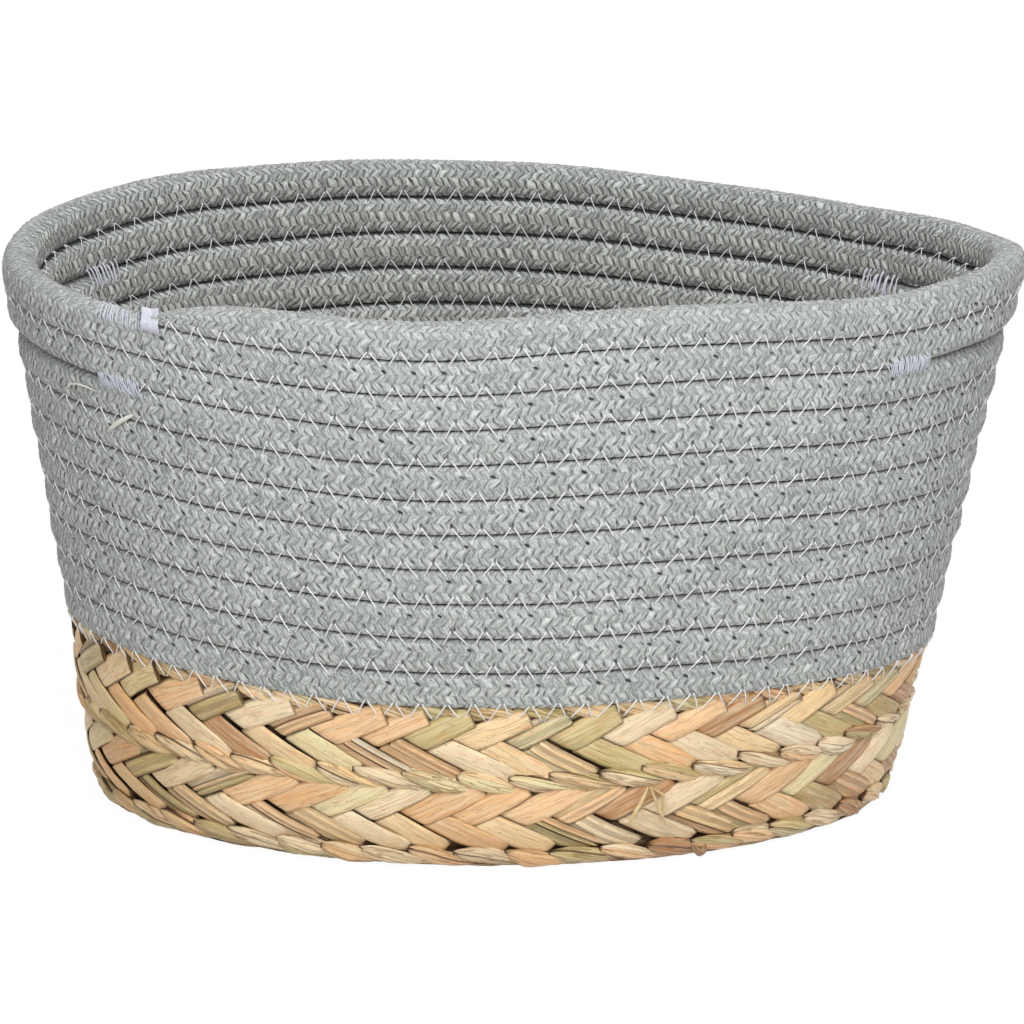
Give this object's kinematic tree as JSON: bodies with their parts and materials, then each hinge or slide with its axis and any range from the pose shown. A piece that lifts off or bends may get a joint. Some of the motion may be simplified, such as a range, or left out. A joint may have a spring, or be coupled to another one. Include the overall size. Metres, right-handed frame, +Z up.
{
  "type": "oval storage basket",
  "caption": "Oval open basket: a coiled, stitched cotton rope wall with two handle slits on a foot and base of flat seagrass plait.",
  "frame": {"origin": "middle of the basket's box, on the floor it stands on", "axes": "+X along the oval's long axis, +Z up, -Y towards the front"},
  "size_m": [0.2954, 0.212, 0.1699],
  "materials": {
    "cotton_rope": "matt braided cotton, grey-green",
    "seagrass": "dry plaited leaf, satin, straw to olive",
    "sewing_thread": "slightly shiny white sewing thread"
  },
  "bodies": {
    "root": {"rope_wall_coil": "cotton_rope", "upper_wall_plait": "seagrass", "lower_wall_plait": "seagrass", "base_plait_coil": "seagrass", "rope_end_tack": "sewing_thread", "handle_tack_front_left": "sewing_thread", "handle_tack_back_left": "sewing_thread", "handle_tack_front_right": "sewing_thread", "handle_tack_back_right": "sewing_thread"}
  },
  "joints": []
}
